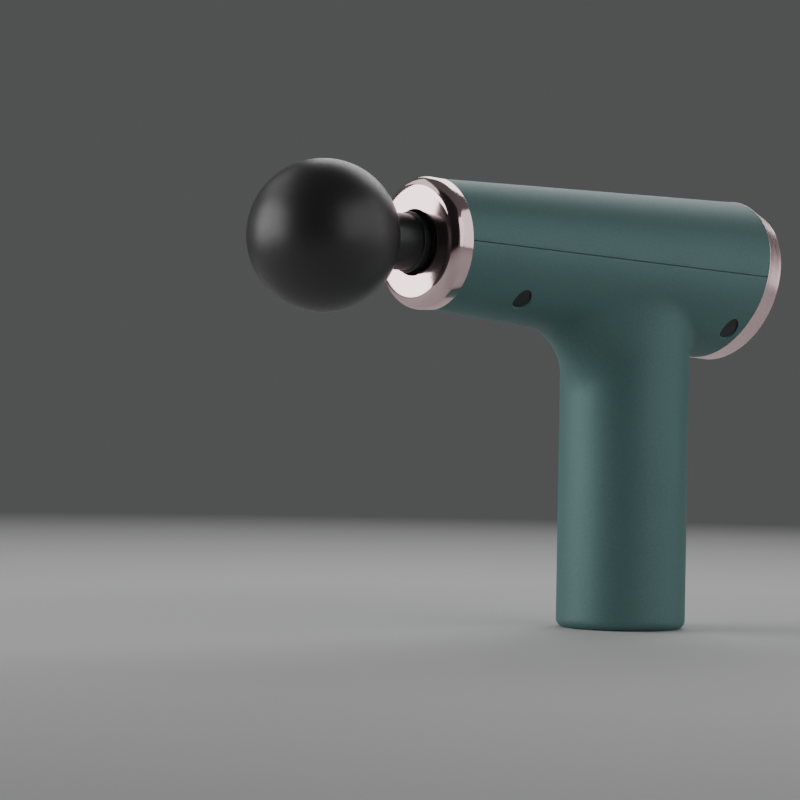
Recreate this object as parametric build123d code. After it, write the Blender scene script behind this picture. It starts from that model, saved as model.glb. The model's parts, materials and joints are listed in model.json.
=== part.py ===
from build123d import *
import math
import os

os.makedirs("parts", exist_ok=True)

# ---------------------------------------------------------------- driving dimensions (mm)
# Frame: origin at the centre of the handle's base face, +Z up, the massage head points to -X.
FIT = 0.02          # gap between parts that are pressed or glued together
RUN_GAP = 0.05      # gap between parts that slide or turn on each other

# Outer body: a tapering barrel on a round handle
WALL = 1.8
HANDLE_R = 20.5
HANDLE_IN_R = HANDLE_R - WALL
BASE_FILLET = 2.5
GRIP_TOP = 67.5     # the handle is truly cylindrical up to here, then has a slight draft
HANDLE_DRAFT = 0.1
PISTON_Z = 117.5
FRONT_X = -79.2
FRONT_R = 19.7
REAR_X = 37.5
REAR_Z = 112.5
REAR_R = 26.0
SLANT = math.radians(14.35)
THROAT_LOW = 70.5
THROAT_FILLET = 10.0
SEAM_GROOVE = 0.35
SEAM_DEPTH = 0.7

# Rear trim ring: an oval band that narrows away from the rim of the barrel
RIM_UP = 0.37
RIM_HIGH = 26.55
TRIM_DEPTH = 7.4
TRIM_WIDE = 24.5
TRIM_HIGH = 25.2
TRIM_FILLET = 1.2
TRIM_SPIGOT = 1.75

# Front ring, guide and piston
RING_X = -86.5
RING_R = 20.0
RING_FACE_R = 17.0
RING_HOLE_R = 9.85
RING_BACK_X = -82.0
RING_SPIGOT_X = -74.5
RING_SPIGOT_R = 15.6
PISTON_R = 8.0
PISTON_FRONT_X = -88.0
PISTON_REAR_X = -16.0
PLUG_BORE_R = 5.06
GUIDE_R = 11.2
GUIDE_FRONT_X = -78.5
GUIDE_REAR_X = -38.0
BUSH_R = 10.0

# Massage head
BALL_X = -119.6
BALL_R = 22.5
CORE_R = 18.5
CORE_WALL = 2.0
STEM_R = 8.5
NECK_R = 6.4
COLLAR_R = 8.85
COLLAR_X = -88.75
SEAT_X = -88.05
PLUG_R = 5.0
PLUG_END_X = -64.0
ORING_X = -70.0
ORING_R = 0.5

# Drive: outer-rotor motor under a plate, crank and yoke above it
THROW = 3.5
PLATE_Z = 103.0
PLATE_T = 3.0
PLATE_HALF = 10.0
BELL_R = 15.5
BELL_Z = 82.4
BELL_TOP = 99.6
SHAFT_R = 2.5
CRANK_Z = 106.8
CRANK_TOP = 112.8
CRANK_BEARING_R = 5.0
YOKE_GAP = 0.8

# Battery and base
CELL_R = 9.1
CELL_Y = 9.25
CELL_Z = 11.7
CELL_L = 65.0
CAP_R = 16.5
CAP_T = 3.0
USB_X = 8.0

# Rear control panel; depths are measured out of the slanted rear of the trim ring
PANEL_R = 22.3
PANEL_BACK = -3.0
PANEL_FACE = -0.8
TRIM_BORE_R = 20.5
BUTTON_R = 6.0
BUTTON_UP = -5.0
BUTTON_BACK = -4.25
BOARD_FACE = -9.0
BOARD_T = 1.6
LED_ROW = [(-12.0, 8.0), (-6.0, 10.6), (0.0, 11.5), (6.0, 10.6), (12.0, 8.0)]
PANEL_POSTS = [(-11.5, -11.0), (11.5, -11.0), (-10.0, 3.0), (10.0, 3.0)]

# Screws that join the halves: place, x, y, top of plug, head seat, top of the wide post, screw tip
WELLS = [
    ("front", -55.4, 14.1, 105.5, 107.4, 109.3, 122.0),
    ("rear", 28.0, 18.4, 100.2, 102.1, 104.3, 118.0),
]
WELL_R = 2.9
WELL_POST_R = 3.7
SCREW_POST_R = 2.6
SCREW_HEAD_R = 2.15
SCREW_R = 1.2

# Screws that hold the drive frame: place, x, y
FRAME_SCREWS = [("front", -52.0, 7.0), ("rear", 17.0, 14.5)]
SIDES = [(-1, "left"), (1, "right")]
WIRE_R = 0.8


# ---------------------------------------------------------------- small helpers
def save(shape, node):
    """Write one node; every node must be a single solid."""
    solids = shape.solids()
    assert len(solids) == 1, f"{node} has {len(solids)} solids"
    export_step(solids[0], f"parts/{node}.step")


def cyl_x(x0, x1, r, z=PISTON_Z, y=0.0):
    """Cylinder along X from x0 to x1."""
    plane = Plane(origin=(x0, y, z), x_dir=(0, 1, 0), z_dir=(1, 0, 0))
    return plane * Cylinder(r, x1 - x0, align=(Align.CENTER, Align.CENTER, Align.MIN))


def tube_x(x0, x1, r_out, r_in, z=PISTON_Z):
    return cyl_x(x0, x1, r_out, z) - cyl_x(x0 - 1, x1 + 1, r_in, z)


def cyl_z(x, y, z0, z1, r):
    """Cylinder along Z from z0 to z1."""
    return Pos(x, y, z0) * Cylinder(r, z1 - z0, align=(Align.CENTER, Align.CENTER, Align.MIN))


def tube_z(z0, z1, r_out, r_in, x=0.0, y=0.0):
    return cyl_z(x, y, z0, z1, r_out) - cyl_z(x, y, z0 - 1, z1 + 1, r_in)


def block(x0, x1, y0, y1, z0, z1):
    """Box given by its limits."""
    size = (x1 - x0, y1 - y0, z1 - z0)
    return Pos((x0 + x1) / 2, (y0 + y1) / 2, (z0 + z1) / 2) * Box(*size)


def turned(points, z=PISTON_Z):
    """Solid of revolution about the piston axis from (x, radius) points."""
    face = make_face(Polyline(*[(x, 0, z + r) for x, r in points], close=True))
    return revolve(face, axis=Axis((0, 0, z), (1, 0, 0)))


def ball_shell(r_out, r_in, hole_r):
    """Hollow ball about the head's centre, open towards the stem."""
    lines = []
    tips = []
    for r in (r_out, r_in):
        reach = math.sqrt(r**2 - hole_r**2)
        opening = math.degrees(math.atan2(hole_r, reach))
        lines.append(Plane.XZ * CenterArc((BALL_X, PISTON_Z), r, opening, 180 - opening))
        tips.append((BALL_X + reach, 0, PISTON_Z + hole_r))
    lines.append(Line(tips[0], tips[1]))
    lines.append(Line((BALL_X - r_out, 0, PISTON_Z), (BALL_X - r_in, 0, PISTON_Z)))
    face = make_face(lines)
    return revolve(face, axis=Axis((0, 0, PISTON_Z), (1, 0, 0)))


def barrel_z(x):
    return PISTON_Z + (REAR_Z - PISTON_Z) * (x - FRONT_X) / (REAR_X - FRONT_X)


def barrel_r(x):
    return FRONT_R + (REAR_R - FRONT_R) * (x - FRONT_X) / (REAR_X - FRONT_X)


def barrel(offset=0.0, x0=FRONT_X, x1=52.0):
    """The tapering barrel, made smaller by offset; x1 lies behind the slanted rear."""
    ends = []
    for x in (x0, x1):
        plane = Plane(origin=(x, 0, barrel_z(x)), x_dir=(0, 1, 0), z_dir=(1, 0, 0))
        ends.append(plane * Circle(barrel_r(x) - offset))
    return loft(ends, ruled=True)


def rear_frame(depth):
    """Frame parallel to the barrel's slanted rear rim: local x is +Y, y is up, z points out."""
    outward = (math.cos(SLANT), 0, -math.sin(SLANT))
    origin = (REAR_X + depth * outward[0], 0, REAR_Z + depth * outward[2])
    return Plane(origin=origin, x_dir=(0, 1, 0), z_dir=outward)


def behind(depth):
    """Everything further out than the slanted plane at this depth."""
    return rear_frame(depth) * Box(200, 200, 120, align=(Align.CENTER, Align.CENTER, Align.MIN))


def panel_disc(u, v, d0, d1, r):
    """Cylinder square to the rear face, at (u, v) on it, from depth d0 to d1."""
    place = rear_frame(TRIM_DEPTH) * Pos(u, v + RIM_UP, d0)
    return place * Cylinder(r, d1 - d0, align=(Align.CENTER, Align.CENTER, Align.MIN))


def panel_block(u, v, w, h, d0, d1):
    place = rear_frame(TRIM_DEPTH) * Pos(u, v + RIM_UP, d0)
    return place * Box(w, h, d1 - d0, align=(Align.CENTER, Align.CENTER, Align.MIN))


def above_seam(lift=0.0):
    """Everything above the parting plane, which runs along the barrel's centre line."""
    fall = math.atan2(REAR_Z - PISTON_Z, REAR_X - FRONT_X)
    plane = Plane(
        origin=(FRONT_X, 0, PISTON_Z + lift),
        x_dir=(math.cos(fall), 0, math.sin(fall)),
        z_dir=(-math.sin(fall), 0, math.cos(fall)),
    )
    return plane * Box(400, 200, 100, align=(Align.CENTER, Align.CENTER, Align.MIN))


def wire(points, radii, r):
    """Round wire along a path of straight runs joined by tangent arcs."""
    path = FilletPolyline(*points, radius=radii)
    start = Plane(origin=path @ 0, z_dir=path % 0)
    return sweep(start * Circle(r), path=path)


# ---------------------------------------------------------------- housing
def outer_body():
    """Barrel and handle as one smooth outside, without the rear opening."""
    top = PISTON_Z - 5
    column = cyl_z(0, 0, 0, GRIP_TOP, HANDLE_R)
    column = fillet(column.faces().sort_by(Axis.Z)[0].edges(), BASE_FILLET)
    drafted = Cone(HANDLE_R, HANDLE_R + HANDLE_DRAFT, top - GRIP_TOP,
                   align=(Align.CENTER, Align.CENTER, Align.MIN))
    column += Pos(0, 0, GRIP_TOP) * drafted
    body = (barrel() - behind(0)) + column
    joint = []
    for edge in body.edges():
        points = [edge @ k for k in (0.2, 0.5, 0.8)]
        on_column = all(-0.02 < math.hypot(p.X, p.Y) - HANDLE_R < HANDLE_DRAFT for p in points)
        if on_column and all(p.Z > THROAT_LOW for p in points):
            joint.append(edge)
    return fillet(joint, THROAT_FILLET)


def cavity():
    inside = barrel(WALL, FRONT_X - 1)
    return inside + cyl_z(0, 0, 2.2, PISTON_Z - 5, HANDLE_IN_R)


def seam_groove(outside):
    """Thin step round the lower edge of the top cover, which shows as the parting line."""
    rim = (outside & above_seam()) - barrel(SEAM_DEPTH, FRONT_X - 1)
    return rim - above_seam(SEAM_GROOVE)


def housing_halves():
    outside = outer_body()
    shell = outside - cavity()
    lower = shell - above_seam()
    lower -= cyl_z(0, 0, -1, CAP_T, CAP_R + 0.15)
    upper = (shell & above_seam()) - seam_groove(outside)
    for place, x, y, plug_z, seat_z, post_z, tip_z in WELLS:
        for side, letter in SIDES:
            y_side = side * y
            post = cyl_z(x, y_side, 80, post_z, WELL_POST_R) + cyl_z(x, y_side, 80, 125, SCREW_POST_R)
            lower += (post & outside) - above_seam()
            boss = cyl_z(x, y_side, 105, 145, SCREW_POST_R) & barrel(WALL / 2)
            upper += boss & above_seam()
            lower -= cyl_z(x, y_side, 70, plug_z, WELL_R)
            lower -= cyl_z(x, y_side, 70, seat_z, SCREW_HEAD_R + 0.15)
            lower -= cyl_z(x, y_side, 70, 130, SCREW_R + 0.25)
            upper -= cyl_z(x, y_side, 100, tip_z + 0.5, SCREW_R + RUN_GAP)
    for place, x, y in FRAME_SCREWS:
        for side, letter in SIDES:
            lower += cyl_z(x, side * y, 85, PLATE_Z, 3.0) & barrel(WALL / 2)
            lower -= cyl_z(x, side * y, PLATE_Z - 5.5, PLATE_Z + 1, SCREW_R + RUN_GAP)
    return lower, upper


lower_housing, top_cover = housing_halves()
save(lower_housing, "lower_housing")
save(top_cover, "top_cover")

for place, x, y, plug_z, seat_z, post_z, tip_z in WELLS:
    for side, letter in SIDES:
        plug = cyl_z(x, side * y, 80, plug_z, WELL_R - 0.06) & barrel(0.3)
        save(plug, f"screw_plug_{place}_{letter}")
        head_z = seat_z - 1.6
        screw = cyl_z(x, side * y, head_z, seat_z, SCREW_HEAD_R) + cyl_z(x, side * y, seat_z, tip_z, SCREW_R)
        screw -= Pos(x, side * y, head_z) * extrude(RegularPolygon(0.9, 6), 1.0)
        save(screw, f"housing_screw_{place}_{letter}")

# ---------------------------------------------------------------- end rings
FRONT_SPIGOT_R = FRONT_R - WALL - 0.15
front_ring = turned([(RING_X, RING_HOLE_R), (RING_X, RING_R), (FRONT_X, RING_R),
                     (FRONT_X, FRONT_SPIGOT_R), (RING_SPIGOT_X, FRONT_SPIGOT_R),
                     (RING_SPIGOT_X, RING_SPIGOT_R), (RING_BACK_X, RING_SPIGOT_R),
                     (RING_BACK_X, RING_HOLE_R)])
face_edges = front_ring.edges().filter_by(GeomType.CIRCLE).group_by(Axis.X)[0].sort_by(SortBy.RADIUS)
front_ring = fillet(face_edges[-1], RING_R - RING_FACE_R)
face_edges = front_ring.edges().filter_by(GeomType.CIRCLE).group_by(Axis.X)[0].sort_by(SortBy.RADIUS)
front_ring = fillet(face_edges[0], 0.25)
save(front_ring, "front_ring")

trim = loft([rear_frame(0) * Pos(0, RIM_UP) * Ellipse(REAR_R, RIM_HIGH),
             rear_frame(TRIM_DEPTH) * Pos(0, RIM_UP) * Ellipse(TRIM_WIDE, TRIM_HIGH)], ruled=True)
trim = fillet(trim.edges().filter_by(GeomType.ELLIPSE).sort_by(Axis.X)[-1], TRIM_FILLET)
trim += (barrel(WALL + 0.15) & behind(-TRIM_SPIGOT)) - behind(0.5)
trim -= panel_disc(0, 0, PANEL_BACK, 2, PANEL_R + 0.2)
trim -= panel_disc(0, 0, -30, 2, TRIM_BORE_R)
save(trim, "rear_trim_ring")

# ---------------------------------------------------------------- rear panel, button and board
GUIDE_BACK = -4.6

panel = panel_disc(0, 0, PANEL_BACK, PANEL_FACE, PANEL_R)
panel = fillet(panel.edges().sort_by(SortBy.LENGTH)[-1], 0.4)
panel -= panel_disc(0, BUTTON_UP, -5, 1, BUTTON_R + 0.25)
for u, v in LED_ROW:
    panel -= panel_disc(u, v, -5, 1, 0.95)
for u, v in PANEL_POSTS:
    panel += panel_disc(u, v, BOARD_FACE, PANEL_BACK + 0.5, 1.8)
save(panel, "control_panel")

guide = panel_block(0, 9.6, 28, 5.6, GUIDE_BACK, PANEL_BACK)
for u, v in LED_ROW:
    guide += panel_disc(u, v, GUIDE_BACK, PANEL_FACE, 0.9)
save(guide, "light_guide")

flange_face = PANEL_BACK - RUN_GAP
button = panel_disc(0, BUTTON_UP, flange_face, PANEL_FACE + 0.7, BUTTON_R)
button = fillet(button.edges().sort_by(Axis.X)[-1], 0.5)
button += panel_disc(0, BUTTON_UP, BUTTON_BACK, flange_face, BUTTON_R + 1.2)
save(button, "power_button")

save(panel_disc(0, BUTTON_UP, -8.0, BUTTON_BACK, 1.7), "switch_plunger")

switch = panel_block(0, BUTTON_UP, 6.2, 6.2, BOARD_FACE, -5.6)
switch -= panel_disc(0, BUTTON_UP, -8.7, -5, 1.75)
save(switch, "tact_switch")

save(panel_block(0, 0.5, 28, 25, BOARD_FACE - BOARD_T, BOARD_FACE), "control_board")
save(panel_block(0, 9.6, 26, 4.0, BOARD_FACE, -7.8), "led_bar")
chip_face = BOARD_FACE - BOARD_T
save(panel_block(0, 6.0, 9, 9, chip_face - 1.4, chip_face), "motor_driver_chip")

# ---------------------------------------------------------------- front guide
plate_top = PLATE_Z + PLATE_T
guide_housing = tube_x(GUIDE_FRONT_X, GUIDE_REAR_X, GUIDE_R, BUSH_R + FIT)
foot = block(-61.0, -40.0, -PLATE_HALF, PLATE_HALF, plate_top, PISTON_Z - 4)
guide_housing += foot - cyl_x(-80, -30, BUSH_R + FIT)
for side, letter in SIDES:
    guide_housing -= cyl_z(FRAME_SCREWS[0][1], side * FRAME_SCREWS[0][2], 100, 110.2, 3.1)
save(guide_housing, "guide_housing")
save(tube_x(-76.0, -40.0, BUSH_R, PISTON_R + RUN_GAP), "guide_bush")
seal = turned([(-81.6, 8.6), (-81.6, 11.6), (GUIDE_FRONT_X, 11.6), (GUIDE_FRONT_X, 8.6),
               (-79.3, PISTON_R + 0.08), (-80.8, PISTON_R + 0.08)])
save(seal, "front_seal")

# ---------------------------------------------------------------- drive frame
plate = block(-62, 0, -PLATE_HALF, PLATE_HALF, PLATE_Z, plate_top)
plate += cyl_z(0, 0, PLATE_Z, plate_top, 15.5)
for side, letter in SIDES:
    plate += cyl_z(17.0, side * 14.5, PLATE_Z, plate_top, 3.8)
    plate += Pos(9, side * 9.5, PLATE_Z + PLATE_T / 2) * Rot(0, 0, side * 35) * Box(16, 7, PLATE_T)
plate -= cyl_z(0, 0, 90, 120, 5.5)
for place, x, y in FRAME_SCREWS:
    for side, letter in SIDES:
        plate -= cyl_z(x, side * y, 90, 120, 1.7)
save(plate, "drive_frame")

for place, x, y in FRAME_SCREWS:
    for side, letter in SIDES:
        screw = cyl_z(x, side * y, plate_top, plate_top + 1.8, 2.6)
        screw += cyl_z(x, side * y, PLATE_Z - 5, plate_top, SCREW_R)
        screw -= Pos(x, side * y, plate_top + 0.8) * extrude(RegularPolygon(1.3, 6), 2)
        save(screw, f"frame_screw_{place}_{letter}")

# ---------------------------------------------------------------- motor
BEARING_T = 2.5
LOWER_BEARING_Z = 85.9
UPPER_BEARING_Z = 98.2
CORE_Z = 88.5
CORE_TOP = 97.5
TEETH = 9
VENTS = 6

base = cyl_z(0, 0, 100.5, PLATE_Z, 13.0) + cyl_z(0, 0, 85.6, 101, 5.0)
base -= cyl_z(0, 0, 80, 104, 3.4)
base -= cyl_z(0, 0, 80, LOWER_BEARING_Z + BEARING_T, 4.0)
base -= cyl_z(0, 0, UPPER_BEARING_Z, 104, 4.0)
save(base, "motor_base")
for node, z in (("motor_bearing_lower", LOWER_BEARING_Z), ("motor_bearing_upper", UPPER_BEARING_Z)):
    save(tube_z(z, z + BEARING_T, 4.0 - FIT, SHAFT_R + 0.04), node)

core = tube_z(CORE_Z, CORE_TOP, 6.6, 5.0 + FIT)
for i in range(TEETH):
    turn = Rot(0, 0, 360 / TEETH * i)
    core += turn * block(6.0, 11.9, -0.9, 0.9, CORE_Z, CORE_TOP)
    core += turn * (tube_z(CORE_Z, CORE_TOP, 12.2, 11.2) & block(5, 13, -3.4, 3.4, 80, 100))
save(core, "stator_core")
save(tube_z(86.8, 99.6, 11.15, 6.65) - core, "stator_winding")

bell = cyl_z(0, 0, BELL_Z, BELL_TOP, BELL_R) - cyl_z(0, 0, BELL_Z + 2, BELL_TOP + 1, 13.9)
bell += cyl_z(0, 0, BELL_Z + 1, 85.3, 4.0)
bell -= cyl_z(0, 0, 80, 90, SHAFT_R + 0.01)
for i in range(VENTS):
    bell -= Rot(0, 0, 360 / VENTS * i) * cyl_z(9.2, 0, 80, BELL_Z + 2, 2.2)
save(bell, "rotor_bell")
save(tube_z(87.6, 98.8, 13.9 - FIT, 12.6), "rotor_magnets")
save(cyl_z(0, 0, BELL_Z, 109.6, SHAFT_R), "motor_shaft")

# Crank: the pin sits at mid-stroke, on the +Y side, opposite its counterweight
crank = cyl_z(0, 0, CRANK_Z, CRANK_TOP, 7.2)
crank += cyl_z(0, 0, CRANK_Z, CRANK_TOP, 11.0) & block(-9, 9, -12, -2, 100, 120)
crank -= cyl_z(0, 0, 100, 109.6, SHAFT_R + 0.01)
crank -= cyl_z(0, THROW, 110.0, 115, SHAFT_R + 0.01)
save(crank, "crank_disc")
pin = cyl_z(0, THROW, 110.0, 120.4, SHAFT_R) + cyl_z(0, THROW, CRANK_TOP, 115.5, 3.3)
save(pin, "crank_pin")
save(tube_z(115.5, 119.5, CRANK_BEARING_R, SHAFT_R + 0.01, 0, THROW), "crank_bearing")

# ---------------------------------------------------------------- piston and yoke
STUD_R = 3.4
GRUB_X = -21.0
slot_x = CRANK_BEARING_R + YOKE_GAP
slot_y = THROW + CRANK_BEARING_R + YOKE_GAP
yoke = block(-slot_x - 3, slot_x + 3, -slot_y - 3, slot_y + 3, 114.0, 121.0)
yoke = fillet(yoke.edges().filter_by(Axis.Z), 3.0)
hole = block(-slot_x, slot_x, -slot_y, slot_y, 110, 125)
yoke -= fillet(hole.edges().filter_by(Axis.Z), 3.5)
yoke += cyl_x(-26.0, -slot_x - 1, STUD_R)
save(yoke, "piston_yoke")

piston = cyl_x(PISTON_FRONT_X, PISTON_REAR_X, PISTON_R)
piston = fillet(piston.edges().sort_by(Axis.X)[-1], 1.0)
piston -= cyl_x(-90, -62.0, PLUG_BORE_R)
piston -= cyl_x(-58.0, -27.0, 5.4)
piston -= cyl_x(-28.0, -10.0, STUD_R + FIT)
piston -= cyl_z(GRUB_X, 0, 105, 130, SCREW_R + RUN_GAP)
save(piston, "piston_rod")
save(cyl_z(GRUB_X, 0, 110.5, PISTON_Z - STUD_R - FIT, SCREW_R), "yoke_grub_screw")

# ---------------------------------------------------------------- massage head
save(ball_shell(BALL_R, CORE_R, STEM_R + FIT), "ball_skin")
core_ball = ball_shell(CORE_R - FIT, CORE_R - CORE_WALL, NECK_R + FIT)
core_ball += tube_x(-107.5, -103.5, 9.0, NECK_R + FIT)
save(core_ball, "ball_core")

groove = (ORING_X - 2.2 * ORING_R, ORING_X + 2.2 * ORING_R)
stem = turned([(-108.0, 4.2), (-108.0, NECK_R), (-101.0, NECK_R), (-101.0, STEM_R), (COLLAR_X, STEM_R),
               (COLLAR_X, COLLAR_R), (SEAT_X, COLLAR_R), (SEAT_X, PLUG_R),
               (groove[0], PLUG_R), (groove[0], 4.0), (groove[1], 4.0),
               (groove[1], PLUG_R), (PLUG_END_X - 1, PLUG_R), (PLUG_END_X, PLUG_R - 1),
               (PLUG_END_X, 0.0), (-66.5, 0.0), (-66.5, 2.4), (-94.0, 2.4), (-96.0, 4.2)])
save(stem, "head_stem")
oring = Plane(origin=(ORING_X, 0, PISTON_Z), x_dir=(0, 1, 0), z_dir=(1, 0, 0)) * Torus(4.5, ORING_R)
save(oring, "stem_oring")

# ---------------------------------------------------------------- battery and base
cap = cyl_z(0, 0, 0, CAP_T, CAP_R)
cap = fillet(cap.faces().sort_by(Axis.Z)[0].edges(), 0.4)
cap += tube_z(CAP_T, 7, 16.3, 14.2)
port = block(USB_X - 1.85, USB_X + 1.85, -4.75, 4.75, -1, 4)
cap -= fillet(port.edges().filter_by(Axis.Z), 1.8)
save(cap, "handle_end_cap")

socket = block(USB_X - 1.65, USB_X + 1.65, -4.5, 4.5, 0.7, 7.0)
socket = fillet(socket.edges().filter_by(Axis.Z), 1.6)
mouth = block(USB_X - 1.3, USB_X + 1.3, -4.15, 4.15, 0, 6.2)
socket -= fillet(mouth.edges().filter_by(Axis.Z), 1.25)
socket += block(USB_X - 0.35, USB_X + 0.35, -3.3, 3.3, 1.6, 6.5)
save(socket, "usb_socket")
save(cyl_z(0, 0, 7.0, 8.6, 16.0), "charge_board")

for side, letter in SIDES:
    cell = cyl_z(0, side * CELL_Y, CELL_Z, CELL_Z + CELL_L, CELL_R)
    cell = fillet(cell.edges().filter_by(GeomType.CIRCLE), 0.6)
    save(cell, f"battery_cell_{letter}")

HOLDER_TOP = 78.4
wire_slot = block(11.5, 25, -4.5, 4.5, 0, 90)
for node, z0, z1 in (("cell_holder_lower", 10.2, 14.5), ("cell_holder_upper", 73.5, HOLDER_TOP)):
    holder = cyl_z(0, 0, z0, z1, HANDLE_IN_R - 0.25)
    for side, letter in SIDES:
        holder -= cyl_z(0, side * CELL_Y, CELL_Z, CELL_Z + CELL_L, CELL_R + FIT)
    save(holder - wire_slot, node)
save(cyl_z(0, 0, HOLDER_TOP, HOLDER_TOP + 2.2, HANDLE_IN_R - 0.3) - wire_slot, "motor_insulator")


# ---------------------------------------------------------------- wires
def board_reach(z):
    """How far back a wire of radius WIRE_R at height z runs before it meets the slanted board."""
    depth = TRIM_DEPTH + BOARD_FACE - BOARD_T
    low_edge = z - WIRE_R - REAR_Z
    return REAR_X + (depth + low_edge * math.sin(SLANT)) / math.cos(SLANT) - FIT


LEAD_TOP = 105.0
for node, y, start in (
    ("battery_lead_red", -2.5, 77.5),
    ("battery_lead_black", 2.5, 77.5),
    ("charge_lead", 0.0, 9.4),
):
    points = [(11.5, y, start), (17.0, y, start), (17.0, y, 97.5), (24.0, y, LEAD_TOP),
              (board_reach(LEAD_TOP), y, LEAD_TOP)]
    save(wire(points, [2.5, 3.0, 2.5], WIRE_R), node)

PHASE_TOP = 108.0
for node, y in (("phase_wire_a", 5.6), ("phase_wire_b", 7.8), ("phase_wire_c", 10.0)):
    start = math.sqrt(13.0**2 - (y - WIRE_R) ** 2) + FIT
    points = [(start, y, 101.7), (19.5, y, 101.7), (25.5, y, PHASE_TOP),
              (board_reach(PHASE_TOP), y, PHASE_TOP)]
    save(wire(points, [2.5, 2.5], WIRE_R), node)
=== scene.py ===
import json
import math

import bmesh
import bpy
import numpy as np
from mathutils import Matrix, Vector

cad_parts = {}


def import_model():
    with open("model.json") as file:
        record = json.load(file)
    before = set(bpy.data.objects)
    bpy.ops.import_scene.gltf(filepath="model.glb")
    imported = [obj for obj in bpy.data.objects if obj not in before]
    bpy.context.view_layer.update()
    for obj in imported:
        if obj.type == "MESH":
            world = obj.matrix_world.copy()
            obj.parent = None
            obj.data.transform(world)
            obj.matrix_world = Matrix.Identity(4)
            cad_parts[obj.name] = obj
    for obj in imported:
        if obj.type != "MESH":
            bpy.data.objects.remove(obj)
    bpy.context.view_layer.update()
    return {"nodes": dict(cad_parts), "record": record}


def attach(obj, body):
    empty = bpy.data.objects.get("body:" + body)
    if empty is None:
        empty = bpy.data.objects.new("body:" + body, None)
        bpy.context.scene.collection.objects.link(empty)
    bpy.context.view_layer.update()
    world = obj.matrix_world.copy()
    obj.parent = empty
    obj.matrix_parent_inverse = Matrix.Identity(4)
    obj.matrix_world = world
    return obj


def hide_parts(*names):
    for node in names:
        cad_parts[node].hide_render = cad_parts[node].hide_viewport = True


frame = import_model()
NODES = frame["nodes"]

# ---------------------------------------------------------------- sizes, in mm
WALL = 1.8
HANDLE_R = 20.5
BASE_FILLET = 2.5
PISTON_Z = 117.5
FRONT_X, FRONT_R = -79.2, 19.7
REAR_X, REAR_Z, REAR_R = 37.5, 112.5, 26.0
SLANT = math.radians(14.35)
RIM_UP, RIM_HIGH = 0.37, 26.55
TRIM_DEPTH, TRIM_WIDE, TRIM_HIGH, TRIM_FILLET = 7.4, 24.5, 25.2, 1.2
TRIM_SPIGOT, TRIM_BORE_R = 1.75, 20.5
PANEL_R, PANEL_BACK, PANEL_FACE = 22.3, -3.0, -0.8
BUTTON_R, BUTTON_UP, BUTTON_BACK = 6.0, -5.0, -4.25
LED_ROW = [(-12.0, 8.0), (-6.0, 10.6), (0.0, 11.5), (6.0, 10.6), (12.0, 8.0)]
RING_X, RING_R, RING_FACE_R, RING_HOLE_R = -86.5, 20.0, 16.0, 9.85
RING_BACK_X, RING_SPIGOT_X, RING_SPIGOT_R = -82.0, -74.5, 15.6
BALL_X, BALL_R, STEM_R = -119.6, 22.5, 8.5
COLLAR_X, COLLAR_R, SEAT_X = -89.15, 9.15, -88.05
STEM_FRONT_X, STEM_STEP_X, STEM_CORE_R, STEM_BORE_R = -108.0, -101.0, 6.4, 2.4
SHANK_R, SHANK_END_X, SHANK_CHAMFER = 5.0, -64.0, 1.0
GROOVE_X, GROOVE_R = (-71.1, -68.9), 4.0
WELLS = [("front", -55.4, 14.1, 105.5), ("rear", 28.0, 18.4, 100.2)]
WELL_R = 2.9
BIG_BLEND, SMALL_BLEND, BLEND_HALF = 20.5, 3.0, 14.0
BARREL_LOW = 68.0
CAP_HOLE_R, CAP_HOLE_UP = 16.65, 3.0
SEAM_GAP, RING_GAP = 0.24, 0.06
SPIGOT_FIT, STEM_FIT, WELL_FIT = 0.15, 0.02, 0.06
MM = 0.001

# ---------------------------------------------------------------- studio, in metres and degrees
STUDIO, STUDIO_LEVEL = (0.98, 0.99, 1.0), 0.09
STUDIO_CENTRE = Vector((-0.02, 0, 0.09))
FLOOR_R, FLOOR_FADE = 9.0, (0.25, 1.1)


# ---------------------------------------------------------------- barrel
SLOPE_Z = (REAR_Z - PISTON_Z) / (REAR_X - FRONT_X)
SLOPE_R = (REAR_R - FRONT_R) / (REAR_X - FRONT_X)
CONE_COS = math.cos(math.atan(SLOPE_R))


def barrel_z(x):
    """Height of the barrel's axis at x."""
    return PISTON_Z + (REAR_Z - PISTON_Z) * (x - FRONT_X) / (REAR_X - FRONT_X)


def barrel_r(x):
    """Outside radius of the barrel at x."""
    return FRONT_R + (REAR_R - FRONT_R) * (x - FRONT_X) / (REAR_X - FRONT_X)


# ---------------------------------------------------------------- materials
def material(name, color, rough, metallic=0.0, **sockets):
    """A Principled material with constant values on the shader's own sockets."""
    mat = bpy.data.materials.new(name)
    mat.use_nodes = True
    shader = mat.node_tree.nodes["Principled BSDF"]
    shader.inputs["Base Color"].default_value = (*color, 1)
    shader.inputs["Roughness"].default_value = rough
    shader.inputs["Metallic"].default_value = metallic
    for key, value in sockets.items():
        shader.inputs[key.replace("_", " ")].default_value = value
    return mat


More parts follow.
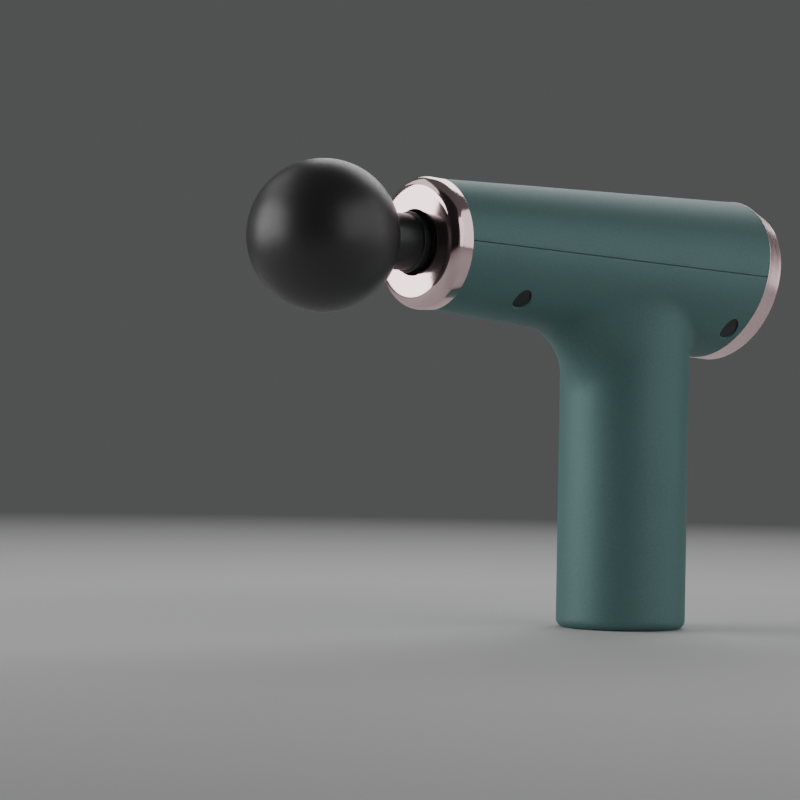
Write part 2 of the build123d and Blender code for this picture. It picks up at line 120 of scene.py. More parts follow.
class Graph:
    """Short ways to add nodes to a material."""

    def __init__(self, mat):
        self.tree = mat.node_tree
        self.shader = self.tree.nodes["Principled BSDF"]
        self.coords = self.tree.nodes.new("ShaderNodeTexCoord").outputs["Object"]

    def link(self, a, b):
        self.tree.links.new(a, b)

    def scaled(self, factors):
        """Object coordinates stretched by three factors."""
        node = self.tree.nodes.new("ShaderNodeMapping")
        node.inputs["Scale"].default_value = factors
        self.link(self.coords, node.inputs["Vector"])
        return node.outputs["Vector"]

    def noise(self, scale, detail=3.0, rough=0.5, vector=None):
        node = self.tree.nodes.new("ShaderNodeTexNoise")
        node.inputs["Scale"].default_value = scale
        node.inputs["Detail"].default_value = detail
        node.inputs["Roughness"].default_value = rough
        self.link(vector or self.coords, node.inputs["Vector"])
        return node.outputs["Fac"]

    def cells(self, scale, output="Distance", feature="F1"):
        node = self.tree.nodes.new("ShaderNodeTexVoronoi")
        node.feature = feature
        node.inputs["Scale"].default_value = scale
        self.link(self.coords, node.inputs["Vector"])
        return node.outputs[output]

    def ramp(self, value, low, high, out_low=0.0, out_high=1.0):
        """Maps low..high to out_low..out_high."""
        node = self.tree.nodes.new("ShaderNodeMapRange")
        node.inputs["From Min"].default_value = low
        node.inputs["From Max"].default_value = high
        node.inputs["To Min"].default_value = out_low
        node.inputs["To Max"].default_value = out_high
        self.link(value, node.inputs["Value"])
        return node.outputs["Result"]

    def mix(self, factor, a, b):
        """Colour mix; a and b are colours or sockets."""
        node = self.tree.nodes.new("ShaderNodeMix")
        node.data_type = "RGBA"
        self.link(factor, node.inputs["Factor"])
        for socket, value in ((node.inputs[6], a), (node.inputs[7], b)):
            if isinstance(value, tuple):
                socket.default_value = (*value, 1)
            else:
                self.link(value, socket)
        return node.outputs[2]

    def color(self, socket):
        self.link(socket, self.shader.inputs["Base Color"])

    def rough(self, socket):
        self.link(socket, self.shader.inputs["Roughness"])

    def bump(self, height, strength, distance):
        """Adds a bump on top of those that are already there."""
        node = self.tree.nodes.new("ShaderNodeBump")
        node.inputs["Strength"].default_value = strength
        node.inputs["Distance"].default_value = distance
        self.link(height, node.inputs["Height"])
        last = self.shader.inputs["Normal"]
        if last.is_linked:
            self.link(last.links[0].from_socket, node.inputs["Normal"])
        self.link(node.outputs["Normal"], last)


def green_paint():
    """Satin metallic paint: dark teal with very fine flake and a slight orange peel."""
    mat = material("green_metallic_paint", (0.084, 0.176, 0.172), 0.55, 0.32)
    g = Graph(mat)
    cloud = g.noise(30.0, 4.0)
    base = g.mix(g.ramp(cloud, 0.3, 0.7), (0.078, 0.164, 0.160), (0.088, 0.184, 0.179))
    flake = g.ramp(g.cells(5200.0, "Color"), 0.25, 0.95)
    g.color(g.mix(flake, base, (0.106, 0.214, 0.209)))
    g.rough(g.ramp(g.noise(1800.0, 2.0), 0.3, 0.7, 0.52, 0.59))
    g.bump(g.noise(3600.0, 2.0), 0.07, 0.00004)
    g.bump(g.noise(520.0, 2.0), 0.04, 0.0001)
    return mat


def plated_metal(name, low, high):
    """Plating with a faint pink cast, hairline polishing marks and light smears."""
    mat = material(name, (0.90, 0.66, 0.67), (low + high) / 2, 1.0)
    g = Graph(mat)
    smear = g.noise(90.0, 4.0)
    g.color(g.mix(g.ramp(smear, 0.3, 0.7), (0.91, 0.67, 0.68), (0.88, 0.645, 0.655)))
    hair = g.noise(1.0, 2.0, 0.5, g.scaled((2500.0, 90.0, 90.0)))
    g.rough(g.ramp(hair, 0.3, 0.7, low, high))
    g.bump(g.noise(700.0, 2.0), 0.02, 0.00005)
    return mat


def black_foam():
    """Matte closed-cell foam skin with very fine pores."""
    mat = material("foam_matte_black", (0.010, 0.010, 0.010), 0.40, Specular_IOR_Level=0.62)
    g = Graph(mat)
    g.color(g.mix(g.ramp(g.noise(60.0, 4.0), 0.3, 0.7), (0.020, 0.020, 0.020), (0.026, 0.026, 0.026)))
    g.rough(g.ramp(g.noise(900.0, 3.0), 0.3, 0.7, 0.36, 0.43))
    g.bump(g.cells(2400.0), 0.10, 0.00006)
    g.bump(g.noise(350.0, 3.0), 0.06, 0.0001)
    return mat


def moulded(name, color, rough, grain=1800.0, depth=0.12):
    """Moulded plastic or rubber with spark-eroded grain and slight shade variation."""
    mat = material(name, color, rough)
    g = Graph(mat)
    lighter = tuple(min(1.0, c * 1.18) for c in color)
    g.color(g.mix(g.ramp(g.noise(70.0, 4.0), 0.3, 0.7), color, lighter))
    g.rough(g.ramp(g.noise(grain * 0.5, 2.0), 0.3, 0.7, rough * 0.88, min(1.0, rough * 1.12)))
    g.bump(g.noise(grain, 3.0), depth, 0.00006)
    return mat


def machined(name, color, rough, stretch=(60.0, 60.0, 2600.0)):
    """Bare metal with directional tool marks."""
    mat = material(name, color, rough, 1.0)
    g = Graph(mat)
    lines = g.noise(1.0, 3.0, 0.6, g.scaled(stretch))
    darker = tuple(c * 0.82 for c in color)
    g.color(g.mix(g.ramp(lines, 0.3, 0.7), color, darker))
    g.rough(g.ramp(lines, 0.3, 0.7, rough * 0.8, rough * 1.2))
    g.bump(lines, 0.06, 0.00005)
    return mat


def gloss_panel():
    """Glossy black lens with a few faint dust specks."""
    mat = material("panel_gloss_black", (0.010, 0.010, 0.012), 0.06, Coat_Weight=0.6, Coat_Roughness=0.03)
    g = Graph(mat)
    dust = g.ramp(g.cells(700.0), 0.02, 0.05, 0.30, 0.06)
    g.rough(dust)
    g.bump(g.noise(160.0, 2.0), 0.01, 0.0002)
    return mat


def circuit_board():
    """Solder mask with copper traces showing through as slightly lighter lines."""
    mat = material("circuit_board_green", (0.012, 0.085, 0.035), 0.32)
    g = Graph(mat)
    traces = g.ramp(g.cells(520.0, "Distance", "DISTANCE_TO_EDGE"), 0.02, 0.06, 1.0, 0.0)
    g.color(g.mix(traces, (0.010, 0.075, 0.030), (0.035, 0.150, 0.060)))
    g.bump(traces, 0.2, 0.00004)
    return mat


def winding_copper():
    """Enamelled copper wire laid in turns."""
    mat = material("winding_copper", (0.62, 0.25, 0.10), 0.32, 1.0)
    g = Graph(mat)
    node = g.tree.nodes.new("ShaderNodeTexWave")
    node.bands_direction = "Z"
    node.inputs["Scale"].default_value = 900.0
    node.inputs["Distortion"].default_value = 1.2
    g.link(g.coords, node.inputs["Vector"])
    g.color(g.mix(node.outputs["Fac"], (0.40, 0.14, 0.05), (0.75, 0.33, 0.14)))
    g.bump(node.outputs["Fac"], 0.5, 0.0001)
    return mat


MATS = {
    "housing_green": green_paint(),
    "plated_ring": plated_metal("plated_rose_polished", 0.10, 0.14),
    "plated_satin": plated_metal("plated_rose_satin", 0.24, 0.32),
    "foam_black": black_foam(),
    "head_plastic": moulded("stem_plastic_black", (0.017, 0.020, 0.020), 0.34, 1500.0, 0.06),
    "screw_plug_dark": moulded("plug_rubber_dark", (0.022, 0.023, 0.025), 0.55),
    "black_rubber": moulded("seal_rubber", (0.013, 0.013, 0.013), 0.70, 1200.0),
    "panel_gloss": gloss_panel(),
    "light_guide": moulded("light_guide_frosted", (0.80, 0.83, 0.84), 0.30, 2400.0, 0.05),
    "button_plastic": moulded("button_satin_grey", (0.10, 0.10, 0.108), 0.38, 2200.0, 0.08),
    "board_green": circuit_board(),
    "chip_black": moulded("chip_epoxy", (0.018, 0.018, 0.018), 0.55),
    "led_white": moulded("led_phosphor", (0.80, 0.78, 0.55), 0.35),
    "steel": machined("ground_steel", (0.60, 0.60, 0.61), 0.28),
    "motor_steel": machined("motor_steel_dark", (0.30, 0.30, 0.32), 0.36),
    "copper": winding_copper(),
    "frame_aluminium": machined("frame_aluminium", (0.68, 0.69, 0.70), 0.34, (1800.0, 70.0, 70.0)),
    "inner_plastic": moulded("inner_nylon_black", (0.045, 0.045, 0.048), 0.55),
    "bush_plastic": moulded("bush_acetal", (0.72, 0.71, 0.66), 0.40),
    "cell_wrap": moulded("cell_wrap_blue", (0.03, 0.14, 0.36), 0.30, 900.0, 0.05),
    "wire_red": moulded("wire_red", (0.50, 0.02, 0.02), 0.42, 900.0, 0.05),
    "wire_black": moulded("wire_black", (0.02, 0.02, 0.02), 0.42, 900.0, 0.05),
    "wire_yellow": moulded("wire_yellow", (0.72, 0.46, 0.03), 0.42, 900.0, 0.05),
}


# ---------------------------------------------------------------- mesh helpers
def linked(name, data):
    """An object with this data, in the scene."""
    obj = bpy.data.objects.new(name, data)
    bpy.context.scene.collection.objects.link(obj)
    return obj


def outward(mesh):
    """Turns the faces of a mesh outward."""
    bm = bmesh.new()
    bm.from_mesh(mesh)
    bmesh.ops.recalc_face_normals(bm, faces=bm.faces)
    bm.to_mesh(mesh)
    bm.free()


def mesh_from_mm(name, verts, faces):
    mesh = bpy.data.meshes.new(name)
    mesh.from_pydata([tuple(c * MM for c in v) for v in verts], [], faces)
    return mesh


def piece(name, verts, faces, body, slot, replaces=(), sharp=32.0, finish=None):
    """A finished mesh piece from points in mm."""
    obj = linked(name, mesh_from_mm(name, verts, faces))
    return dress(obj, body, slot, replaces, sharp, finish)


def dress(obj, body, slot, replaces=(), sharp=32.0, finish=None):
    """Material, smooth shading with sharp creases, and the body it rides on. A finish is a
    material that differs from the slot's own."""
    mesh = obj.data
    mesh.materials.clear()
    mesh.materials.append(MATS[finish or slot])
    outward(mesh)
    mesh.shade_smooth()
    mesh.set_sharp_from_angle(angle=math.radians(sharp))
    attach(obj, body)
    if replaces:
        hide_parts(*replaces)
    return obj


def arc(cx, cy, r, a0, a1, n):
    """Points of an arc in a profile plane, angles in degrees."""
    return [(cx + r * math.cos(math.radians(a)), cy + r * math.sin(math.radians(a)))
            for a in np.linspace(a0, a1, n)]


def turned(profile, place, n, closed):
    """Skin of a turned profile of (radius, along). place(u, v, along) gives a point of a ring,
    a radius of 0 makes a pole, and a closed profile joins its last ring to its first."""
    verts, faces, rings = [], [], []
    for r, along in profile:
        if r < 1e-6:
            rings.append([len(verts)] * n)
            verts.append(place(0.0, 0.0, along))
        else:
            start = len(verts)
            rings.append(list(range(start, start + n)))
            for t in np.linspace(0, 2 * math.pi, n, endpoint=False):
                verts.append(place(r * math.cos(t), r * math.sin(t), along))
    count = len(rings)
    for i in range(count if closed else count - 1):
        a, b = rings[i], rings[(i + 1) % count]
        for j in range(n):
            k = (j + 1) % n
            quad = list(dict.fromkeys((a[j], a[k], b[k], b[j])))
            if len(quad) > 2:
                faces.append(quad)
    return verts, faces


def lathe(profile, n=160, closed=True):
    """Profile of (x, radius) turned about the piston axis."""
    rows = [(r, x) for x, r in profile]
    return turned(rows, lambda u, v, x: (x, u, PISTON_Z + v), n, closed)


def slant_point(u, v, d, depth=TRIM_DEPTH):
    """A point (u across, v up, d out) measured from the slanted rear of the trim ring."""
    s, c = math.sin(SLANT), math.cos(SLANT)
    up, out = v + RIM_UP, d + depth
    return (REAR_X + up * s + out * c, u, REAR_Z + up * c - out * s)


def slant_lathe(profile, u=0.0, v=0.0, n=128):
    """Profile of (radius, depth) turned about an axis square to the rear face at (u, v)."""
    return turned(profile, lambda du, dv, d: slant_point(u + du, v + dv, d), n, False)


# ---------------------------------------------------------------- housing surface
def outside(p):
    """Distance in mm from the outside of barrel and handle, which meet in a blend
    that is large in front of the handle and small behind it."""
    x, y, z = p[:, 0], p[:, 1], p[:, 2]
    rho = np.maximum(np.hypot(x, y), 1e-6)
    d1 = rho - HANDLE_R
    dz = z - barrel_z(x)
    rad = np.maximum(np.hypot(y, dz), 1e-6)
    d2 = (rad - barrel_r(x)) * CONE_COS
    n1 = np.stack([x / rho, y / rho, 0 * x], 1)
    n2 = np.stack([-dz / rad * SLOPE_Z - SLOPE_R, y / rad, dz / rad], 1)
    n2 /= np.linalg.norm(n2, axis=1)[:, None]
    c = np.clip((n1 * n2).sum(1), -0.999, 0.995)
    t = np.clip((x + BLEND_HALF) / (2 * BLEND_HALF), 0, 1)
    t = t * t * (3 - 2 * t)
    r = BIG_BLEND + (SMALL_BLEND - BIG_BLEND) * t
    u, v = r - d1, r - d2
    inside = (u > c * v) & (v > c * u) & (u > 0) & (v > 0)
    w = np.sqrt(np.maximum((u * u + v * v - 2 * c * u * v) / (1 - c * c), 0))
    low = z < barrel_z(x)
    nearest = np.minimum(d1, d2)
    joint = np.where(inside & low, np.minimum(r - w, nearest), nearest)
    joint = np.where(low, joint, d2)
    base, f = -z, BASE_FILLET
    edge = np.hypot(np.maximum(f + joint, 0), np.maximum(f + base, 0))
    edge = edge + np.minimum(-f, np.maximum(joint, base))
    return np.where(z < 20, edge, joint)


def slope_of(f, p, e=0.02):
    """Gradient of f at each point."""
    g = np.zeros_like(p)
    for i in range(3):
        step = np.zeros(3)
        step[i] = e
        g[:, i] = (f(p + step) - f(p - step)) / (2 * e)
    return g


def unit(v):
    return v / np.maximum(np.linalg.norm(v, axis=1), 1e-9)[:, None]


def net(f, lo, hi, h):
    """Quad mesh of the zero surface of f: one vertex per crossed cell, moved onto the surface."""
    axes = [np.arange(lo[i], hi[i] + h, h) for i in range(3)]
    shape = tuple(len(a) for a in axes)
    grid = np.stack(np.meshgrid(*axes, indexing="ij"), -1).reshape(-1, 3)
    values = f(grid).reshape(shape)
    sign = values < 0
    corners = [(i, j, k) for i in (0, 1) for j in (0, 1) for k in (0, 1)]
    total = sum(sign[i:shape[0] - 1 + i, j:shape[1] - 1 + j, k:shape[2] - 1 + k].astype(np.int8)
                for i, j, k in corners)
    crossed = (total > 0) & (total < 8)
    number = -np.ones(crossed.shape, int)
    cells = np.argwhere(crossed)
    number[crossed] = np.arange(len(cells))
    place, count = np.zeros((len(cells), 3)), np.zeros(len(cells))
    for a in corners:
        for i in range(3):
            if a[i]:
                continue
            b = list(a)
            b[i] = 1
            fa = values[tuple((cells + a).T)]
            fb = values[tuple((cells + b).T)]
            hit = (fa < 0) != (fb < 0)
            t = fa[hit] / (fa[hit] - fb[hit])
            place[hit] += np.array(a) + t[:, None] * (np.array(b) - np.array(a))
            count[hit] += 1
    points = np.array(lo) + h * (cells + place / count[:, None])
    quads = []
    for axis in range(3):
        o1, o2 = (axis + 1) % 3, (axis + 2) % 3
        first = [slice(None)] * 3
        second = [slice(None)] * 3
        first[axis], second[axis] = slice(0, -1), slice(1, None)
        change = sign[tuple(first)] != sign[tuple(second)]
        edges = np.argwhere(change)
        keep = (edges[:, o1] > 0) & (edges[:, o2] > 0)
        keep &= (edges[:, o1] < shape[o1] - 1) & (edges[:, o2] < shape[o2] - 1)
        edges = edges[keep]
        ring = []
        for s1, s2 in ((0, 0), (1, 0), (1, 1), (0, 1)):
            cell = edges.copy()
            cell[:, o1] -= s1
            cell[:, o2] -= s2
            ring.append(number[tuple(cell.T)])
        quads.append(np.stack(ring, 1))
    quads = np.concatenate(quads)
    for _ in range(3):
        points = onto(f, relax(points, quads))
    return points, quads


def relax(points, quads):
    """Each point moves half way to the mean of its neighbours."""
    total, count = np.zeros_like(points), np.zeros(len(points))
    for i in range(4):
        a, b = quads[:, i], quads[:, (i + 1) % 4]
        np.add.at(total, a, points[b])
        np.add.at(total, b, points[a])
        np.add.at(count, a, 1)
        np.add.at(count, b, 1)
    return points * 0.5 + 0.5 * total / np.maximum(count, 1)[:, None]


def onto(f, points):
    """Moves each point along the gradient onto the zero surface of f."""
    for _ in range(3):
        g = slope_of(f, points)
        points = points - (f(points) / np.maximum((g * g).sum(1), 0.25))[:, None] * g
    return points


def plane_seam(lift):
    """Plane along the barrel's axis, raised by lift."""
    fall = math.atan2(REAR_Z - PISTON_Z, REAR_X - FRONT_X)
    normal = Vector((-math.sin(fall), 0, math.cos(fall)))
    return Vector((FRONT_X, 0, PISTON_Z + lift)), normal


def plane_rear():
    """Slanted plane at the rear end of the barrel."""
    return Vector((REAR_X, 0, REAR_Z)), Vector((math.cos(SLANT), 0, -math.sin(SLANT)))


def cut(bm, plane, keep_below=True, low=-math.inf):
    """Cuts the mesh above the height low by a plane and removes one side."""
    point, normal = plane
    geometry = [v for v in bm.verts if v.co.z > low]
    geometry += [e for e in bm.edges if all(v.co.z > low for v in e.verts)]
    geometry += [f for f in bm.faces if all(v.co.z > low for v in f.verts)]
    bmesh.ops.bisect_plane(bm, geom=geometry, dist=1e-5, plane_co=point, plane_no=normal,
                           clear_outer=keep_below, clear_inner=not keep_below)


def apply_modifiers(obj):
    """Replaces the mesh by the result of the modifiers."""
    depsgraph = bpy.context.evaluated_depsgraph_get()
    depsgraph.update()
    mesh = bpy.data.meshes.new_from_object(obj.evaluated_get(depsgraph))
    old = obj.data
    obj.modifiers.clear()
    obj.data = mesh
    bpy.data.meshes.remove(old)


def cut_holes(obj, cutters):
    """Subtracts the cutters from a piece."""
    for cutter in cutters:
        hole = obj.modifiers.new("hole", "BOOLEAN")
        hole.operation = "DIFFERENCE"
        hole.solver = "EXACT"
        hole.object = cutter
    apply_modifiers(obj)


def cylinder_cutter(x, y, z0, z1, r, n=64):
    """Upright cylinder for cutting a hole."""
    bm = bmesh.new()
    bmesh.ops.create_cone(bm, cap_ends=True, segments=n, radius1=r, radius2=r, depth=z1 - z0)
    bmesh.ops.translate(bm, verts=bm.verts, vec=(x, y, (z0 + z1) / 2))
    bmesh.ops.scale(bm, verts=bm.verts, vec=(MM,) * 3)
    mesh = bpy.data.meshes.new("cutter")
    bm.to_mesh(mesh)
    bm.free()
    return linked("cutter", mesh)


def shell_piece(name, points, quads, planes, thickness, cutters=(), bevel=0.12):
    """Part of the housing surface between planes, thickened inwards, with holes cut through."""
    bm = bmesh.new()
    made = [bm.verts.new(tuple(p)) for p in points]
    for q in quads:
        bm.faces.new([made[i] for i in q])
    for plane in planes:
        cut(bm, *plane)
    bmesh.ops.recalc_face_normals(bm, faces=bm.faces)
    bmesh.ops.scale(bm, verts=bm.verts, vec=(MM,) * 3)
    mesh = bpy.data.meshes.new(name)
    bm.to_mesh(mesh)
    bm.free()
    obj = linked(name, mesh)
    solid = obj.modifiers.new("wall", "SOLIDIFY")
    solid.thickness = thickness * MM
    solid.offset = -1.0
    solid.use_even_offset = True
    apply_modifiers(obj)
    if cutters:
        cut_holes(obj, cutters)
    if bevel:
        soft = obj.modifiers.new("edge", "BEVEL")
        soft.width = bevel * MM
        soft.segments = 2
        soft.limit_method = "ANGLE"
        soft.angle_limit = math.radians(50)
        apply_modifiers(obj)
    return obj


def housing():
    """Lower housing, top cover, and a thin lip behind the seam so that no light passes."""
    step = 1.1
    grid_low, grid_high = (-84.0, -29.0, -3.0), (60.0, 29.0, 142.0)
    points, quads = net(outside, grid_low, grid_high, step)
    front = (Vector((FRONT_X, 0, 0)), Vector((-1, 0, 0)))
    rear = (plane_rear(), True, BARREL_LOW)
    well_start, lip_sunk, lip_low, lip_high, lip_wall = 80, 1.0, -1.5, 1.8, 0.6
    holes = [cylinder_cutter(x, side * y, well_start, top, WELL_R)
             for _, x, y, top in WELLS for side in (-1, 1)]
    holes.append(cylinder_cutter(0, 0, -2, CAP_HOLE_UP, CAP_HOLE_R, 128))
    lower = shell_piece("lower_housing_shell", points, quads,
                        [(front, True), rear, (plane_seam(0.0), True)], WALL, holes)
    upper = shell_piece("top_cover_shell", points, quads,
                        [(front, True), rear, (plane_seam(SEAM_GAP), False)], WALL)
    sunk = points - lip_sunk * unit(slope_of(outside, points))
    lip = shell_piece("seam_lip", sunk, quads,
                      [(front, True), rear, (plane_seam(lip_low), False), (plane_seam(lip_high), True)],
                      lip_wall, bevel=0)
    for cutter in holes:
        bpy.data.objects.remove(cutter)
    dress(lower, "housing", "housing_green", ["lower_housing"])
    dress(upper, "housing", "housing_green", ["top_cover"])
    dress(lip, "housing", "housing_green")


housing()


def screw_plugs():
    """Rubber plugs that follow the surface a little below it and fill the screw wells."""
    n, recess, soft = 48, 0.30, 0.28
    radii = [0.0, 0.6, 1.2, 1.8, 2.3, WELL_R - WELL_FIT - soft]
    for place, x, y, top in WELLS:
        for side, letter in ((-1, "left"), (1, "right")):
            verts, faces = [], []

            def skin(r, t, sunk):
                """Point at (r, t) from the well's axis, sunk below the plug's face."""
                px, py = x + r * math.cos(t), side * y + r * math.sin(t)
                drop = barrel_r(px) - recess - sunk
                return (px, py, barrel_z(px) - math.sqrt(drop**2 - py**2))

            rows = [(r, 0.0) for r in radii]
            for a in (30, 60, 90):
                rad = math.radians(a)
                rows.append((radii[-1] + soft * math.sin(rad), soft * (1 - math.cos(rad))))
            for i, (r, sunk) in enumerate(rows):
                for j in range(n if i else 1):
                    verts.append(skin(r, 2 * math.pi * j / n, sunk))
            for j in range(n):
                px, py, _ = skin(WELL_R - WELL_FIT, 2 * math.pi * j / n, soft)
                verts.append((px, py, top - 0.2))
            for j in range(n):
                k = (j + 1) % n
                faces.append((0, 1 + k, 1 + j))
                for i in range(1, len(rows)):
                    a = 1 + (i - 1) * n
                    faces.append((a + j, a + k, a + n + k, a + n + j))
            faces.append([1 + (len(rows) - 1) * n + j for j in range(n)])
            piece(f"screw_plug_{place}_{letter}_skin", verts, faces, "housing", "screw_plug_dark",
                  [f"screw_plug_{place}_{letter}"])


screw_plugs()


# ---------------------------------------------------------------- rings
def front_ring():
    """Polished ring: a flat face, a large rounding into its side, and a spigot into the shell."""
    round_r, lip = RING_R - RING_FACE_R, 0.25
    spigot_r, back_x = FRONT_R - WALL - SPIGOT_FIT, FRONT_X - RING_GAP
    profile = arc(RING_X + round_r, RING_FACE_R, round_r, 180, 90, 20)
    profile += arc(back_x - lip, RING_R - lip, lip, 90, 0, 6)
    profile += [(back_x, spigot_r), (RING_SPIGOT_X, spigot_r), (RING_SPIGOT_X, RING_SPIGOT_R),
                (RING_BACK_X, RING_SPIGOT_R), (RING_BACK_X, RING_HOLE_R)]
    profile += arc(RING_X + lip, RING_HOLE_R + lip, lip, 270, 180, 7)
    verts, faces = lathe(profile, 256)
    piece("front_ring_plated", verts, faces, "housing", "plated_ring", ["front_ring"], 40)


def rear_ring():
    """Slanted oval band that narrows to a rounded rear edge, with a ledge and a spigot."""
    n, proud, lip, gap = 288, 0.10, 0.10, 0.02

    def oval(t, d):
        """Radius of the band at angle t and depth d."""
        part = d / TRIM_DEPTH
        wide = REAR_R + (TRIM_WIDE - REAR_R) * part
        high = RIM_HIGH + (TRIM_HIGH - RIM_HIGH) * part
        return wide * high / math.hypot(high * math.cos(t), wide * math.sin(t)) + proud

    def spigot(t, d):
        """Radius of the spigot, which follows the inside of the barrel."""
        r = REAR_R - 2.0
        for _ in range(30):
            x, y, z = slant_point(r * math.cos(t), r * math.sin(t), d, 0.0)
            r *= (barrel_r(x) - WALL - SPIGOT_FIT) / math.hypot(y, z - barrel_z(x))
        return r

    verts, faces = [], []
    back = TRIM_DEPTH - TRIM_FILLET
    for j in range(n):
        t = 2 * math.pi * j / n
        ring = []
        for a in (0, 30, 60, 90):
            rad = math.radians(a)
            ring.append((oval(t, 0) - lip * (1 - math.sin(rad)), gap + lip * (1 - math.cos(rad))))
        ring += [(oval(t, d), d) for d in np.linspace(0.4, back, 5)]
        top = oval(t, back) - TRIM_FILLET
        ring += arc(top, back, TRIM_FILLET, 9, 90, 10)
        ring += [(PANEL_R + 0.45, TRIM_DEPTH), (PANEL_R + 0.25, TRIM_DEPTH - 0.06),
                 (PANEL_R + 0.2, TRIM_DEPTH - 0.25), (PANEL_R + 0.2, TRIM_DEPTH + PANEL_BACK),
                 (TRIM_BORE_R, TRIM_DEPTH + PANEL_BACK), (TRIM_BORE_R, -TRIM_SPIGOT),
                 (spigot(t, -TRIM_SPIGOT), -TRIM_SPIGOT), (spigot(t, gap), gap)]
        rows = len(ring)
        for r, d in ring:
            verts.append(slant_point(r * math.cos(t), r * math.sin(t), d, 0.0))
    for j in range(n):
        k = (j + 1) % n
        for i in range(rows):
            m = (i + 1) % rows
            faces.append((j * rows + i, k * rows + i, k * rows + m, j * rows + m))
    piece("rear_trim_plated", verts, faces, "housing", "plated_ring", ["rear_trim_ring"], 40,
          "plated_satin")


front_ring()
rear_ring()


# ---------------------------------------------------------------- head
def massage_head():
    """Foam skin of the ball with a rolled mouth, and the stem with its bead, shank and groove."""
    reach = math.sqrt(BALL_R**2 - (STEM_R + STEM_FIT) ** 2)
    opening = math.degrees(math.atan2(STEM_R + STEM_FIT, reach))
    profile = [(BALL_X + BALL_R * math.cos(math.radians(a)), BALL_R * math.sin(math.radians(a)))
               for a in np.linspace(180, opening + 1.2, 90)]
    profile[0] = (BALL_X - BALL_R, 0.0)
    mouth = BALL_X + reach
    sleeve_r = STEM_R + 0.03
    profile += [(mouth - 0.05, STEM_R + 0.25), (mouth - 0.35, sleeve_r), (mouth - 5.0, sleeve_r)]
    verts, faces = lathe(profile, 192, closed=False)
    piece("ball_skin_foam", verts, faces, "head", "foam_black", ["ball_skin"], 50)

    bead = (SEAT_X - COLLAR_X) / 2
    groove_front, groove_back = GROOVE_X
    profile = [(STEM_FRONT_X, STEM_CORE_R), (STEM_STEP_X, STEM_CORE_R), (STEM_STEP_X, STEM_R),
               (COLLAR_X - 0.2, STEM_R)]
    profile += arc(COLLAR_X + bead, COLLAR_R - bead, bead, 165, 15, 9)
    profile += [(SEAT_X, COLLAR_R - bead), (SEAT_X, SHANK_R),
                (groove_front, SHANK_R), (groove_front, GROOVE_R),
                (groove_back, GROOVE_R), (groove_back, SHANK_R),
                (SHANK_END_X - SHANK_CHAMFER, SHANK_R), (SHANK_END_X, SHANK_R - SHANK_CHAMFER),
                (SHANK_END_X, STEM_BORE_R), (STEM_FRONT_X + SHANK_CHAMFER, STEM_BORE_R),
                (STEM_FRONT_X, SHANK_R - SHANK_CHAMFER)]
    verts, faces = lathe(profile, 160)
    piece("head_stem_turned", verts, faces, "head", "head_plastic", ["head_stem"], 40)


massage_head()


# ---------------------------------------------------------------- rear panel and button
def disc_cutter(u, v, r, d0=-5.0, d1=2.0, n=48):
    """Cylinder square to the rear face, for cutting a hole."""
    verts, faces = slant_lathe([(0.0, d0), (r, d0), (r, d1), (0.0, d1)], u, v, n)
    mesh = mesh_from_mm("cutter", verts, faces)
    outward(mesh)
    return linked("cutter", mesh)


def rear_panel():
    """Glossy lens with holes for the button and the row of lights."""
    soft, button_gap, light_hole_r = 0.4, 0.25, 0.95
    profile = [(0.0, PANEL_BACK), (PANEL_R, PANEL_BACK)]
    profile += arc(PANEL_R - soft, PANEL_FACE - soft, soft, 0, 90, 7)
    profile += [(14.0, PANEL_FACE), (7.0, PANEL_FACE), (0.0, PANEL_FACE)]
    verts, faces = slant_lathe(profile, n=160)
    panel = piece("control_panel_lens", verts, faces, "housing", "panel_gloss")
    cutters = [disc_cutter(0.0, BUTTON_UP, BUTTON_R + button_gap, n=96)]
    cutters += [disc_cutter(u, v, light_hole_r) for u, v in LED_ROW]
    cut_holes(panel, cutters)
    for cutter in cutters:
        bpy.data.objects.remove(cutter)
    dress(panel, "housing", "panel_gloss")
    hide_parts("control_panel")


def power_button():
    """Dished cap with a rounded rim and the flange that keeps it behind the lens."""
    top, soft, flange = PANEL_FACE + 0.7, 0.5, PANEL_BACK - 0.05
    dish = [(0.0, top - 0.32), (3.0, top - 0.24), (4.6, top - 0.10), (5.3, top)]
    rim = arc(BUTTON_R - soft, top - soft, soft, 90, 0, 7)
    flange_r = BUTTON_R + 1.2
    profile = dish + rim
    profile += [(BUTTON_R, flange), (flange_r, flange), (flange_r, BUTTON_BACK), (0.0, BUTTON_BACK)]
    verts, faces = slant_lathe(profile, 0.0, BUTTON_UP, 96)
    piece("power_button_cap", verts, faces, "button", "button_plastic", ["power_button"], 40)


rear_panel()
power_button()

# ---------------------------------------------------------------- CAD nodes that stay
for entry in frame["record"]["subparts"]:
    node = NODES[entry["node"]]
    if not node.hide_render:
        node.data.materials.clear()
        node.data.materials.append(MATS[entry["material_slot"]])


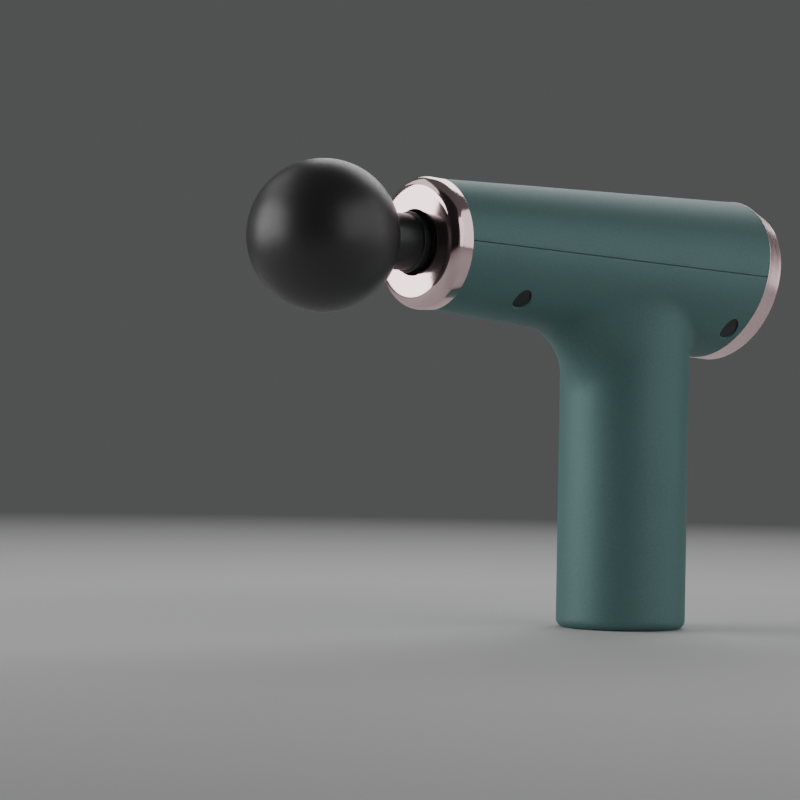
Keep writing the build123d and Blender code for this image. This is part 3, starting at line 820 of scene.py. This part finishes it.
# ---------------------------------------------------------------- floor, light and camera
def floor():
    """Pale round floor that fades into the background colour with distance."""
    mesh = bpy.data.meshes.new("floor")
    angles = np.linspace(0, 2 * math.pi, 97)[:-1]
    rim = [(FLOOR_R * math.cos(t), FLOOR_R * math.sin(t), 0.0) for t in angles]
    mesh.from_pydata(rim, [], [tuple(range(len(rim)))])
    obj = linked("floor", mesh)
    mat = material("floor_pale", (0.57, 0.57, 0.57), 0.85)
    g = Graph(mat)
    g.color(g.mix(g.ramp(g.noise(3.0, 3.0), 0.3, 0.7), (0.56, 0.56, 0.56), (0.58, 0.58, 0.58)))
    nodes = g.tree.nodes
    length = nodes.new("ShaderNodeVectorMath")
    length.operation = "LENGTH"
    g.link(g.coords, length.inputs[0])
    glow = nodes.new("ShaderNodeEmission")
    glow.inputs["Color"].default_value = (*STUDIO, 1)
    glow.inputs["Strength"].default_value = STUDIO_LEVEL
    blend = nodes.new("ShaderNodeMixShader")
    g.link(g.ramp(length.outputs["Value"], *FLOOR_FADE), blend.inputs[0])
    g.link(g.shader.outputs[0], blend.inputs[1])
    g.link(glow.outputs[0], blend.inputs[2])
    g.link(blend.outputs[0], nodes["Material Output"].inputs["Surface"])
    mesh.materials.append(mat)


def world():
    """Even light from all around."""
    w = bpy.data.worlds.new("studio")
    bpy.context.scene.world = w
    w.use_nodes = True
    node = w.node_tree.nodes["Background"]
    node.inputs["Color"].default_value = (*STUDIO, 1)
    node.inputs["Strength"].default_value = STUDIO_LEVEL


def span(angle, distance):
    """Length that spans this angle at this distance."""
    return 2 * distance * math.tan(math.radians(angle / 2))


def aim(obj, azimuth, elevation, distance, front):
    """Sets a lamp or a card in a direction from the object, with its front axis toward it and
    out of the camera's sight. Azimuth counts from +X toward +Y."""
    turn, lift = math.radians(azimuth), math.radians(elevation)
    level = math.cos(lift)
    toward = Vector((math.cos(turn) * level, math.sin(turn) * level, math.sin(lift)))
    obj.location = STUDIO_CENTRE + distance * toward
    obj.rotation_mode = "QUATERNION"
    obj.rotation_quaternion = (-toward).to_track_quat(front, "Y")
    obj.visible_camera = False


def softbox(name, azimuth, elevation, across, up, level, distance=1.2):
    """A soft rectangular lamp. Across and up are the angles that it spans as seen from the
    object, and level is its brightness."""
    width, height = span(across, distance), span(up, distance)
    data = bpy.data.lights.new(name, "AREA")
    data.shape = "RECTANGLE"
    data.size, data.size_y = width, height
    data.energy = 4 * width * height * level
    aim(linked(name, data), azimuth, elevation, distance, "-Z")


def dark_card(azimuth, elevation, across, up, distance=0.7):
    """A black card out of shot, which gives the plated rings their dark band."""
    x, y = span(across, distance) / 2, span(up, distance) / 2
    mesh = bpy.data.meshes.new("dark_card")
    mesh.from_pydata([(-x, -y, 0), (x, -y, 0), (x, y, 0), (-x, y, 0)], [], [(0, 1, 2, 3)])
    mesh.materials.append(material("card_black", (0.01, 0.01, 0.01), 0.9))
    obj = linked("dark_card", mesh)
    aim(obj, azimuth, elevation, distance, "Z")


def camera():
    """The view: from the front left, level with the handle, through a long lens."""
    azimuth, elevation, roll = math.radians(-37.72), math.radians(-0.8), math.radians(1.07)
    data = bpy.data.cameras.new("camera")
    data.lens, data.sensor_width = 117.0, 36.0
    data.clip_start, data.clip_end = 0.05, 50
    obj = linked("camera", data)
    obj.rotation_mode = "QUATERNION"
    turn = Matrix.Rotation(azimuth, 3, "Z") @ Matrix.Rotation(math.pi / 2 - elevation, 3, "X")
    obj.rotation_quaternion = (turn @ Matrix.Rotation(roll, 3, "Z")).to_quaternion()
    obj.location = (-0.56394, -0.61238, 0.05947)
    bpy.context.scene.camera = obj


floor()
world()
softbox("left_back", 150, 10, 54, 44, 2.6)
softbox("left_high", 122, 43, 50, 24, 0.7)
softbox("right_front", 273, 14, 32, 52, 0.98)
softbox("right", 316, 16, 52, 56, 0.82)
softbox("top_back", 38, 38, 42, 32, 2.1)
dark_card(211, 32, 72, 76)
camera()
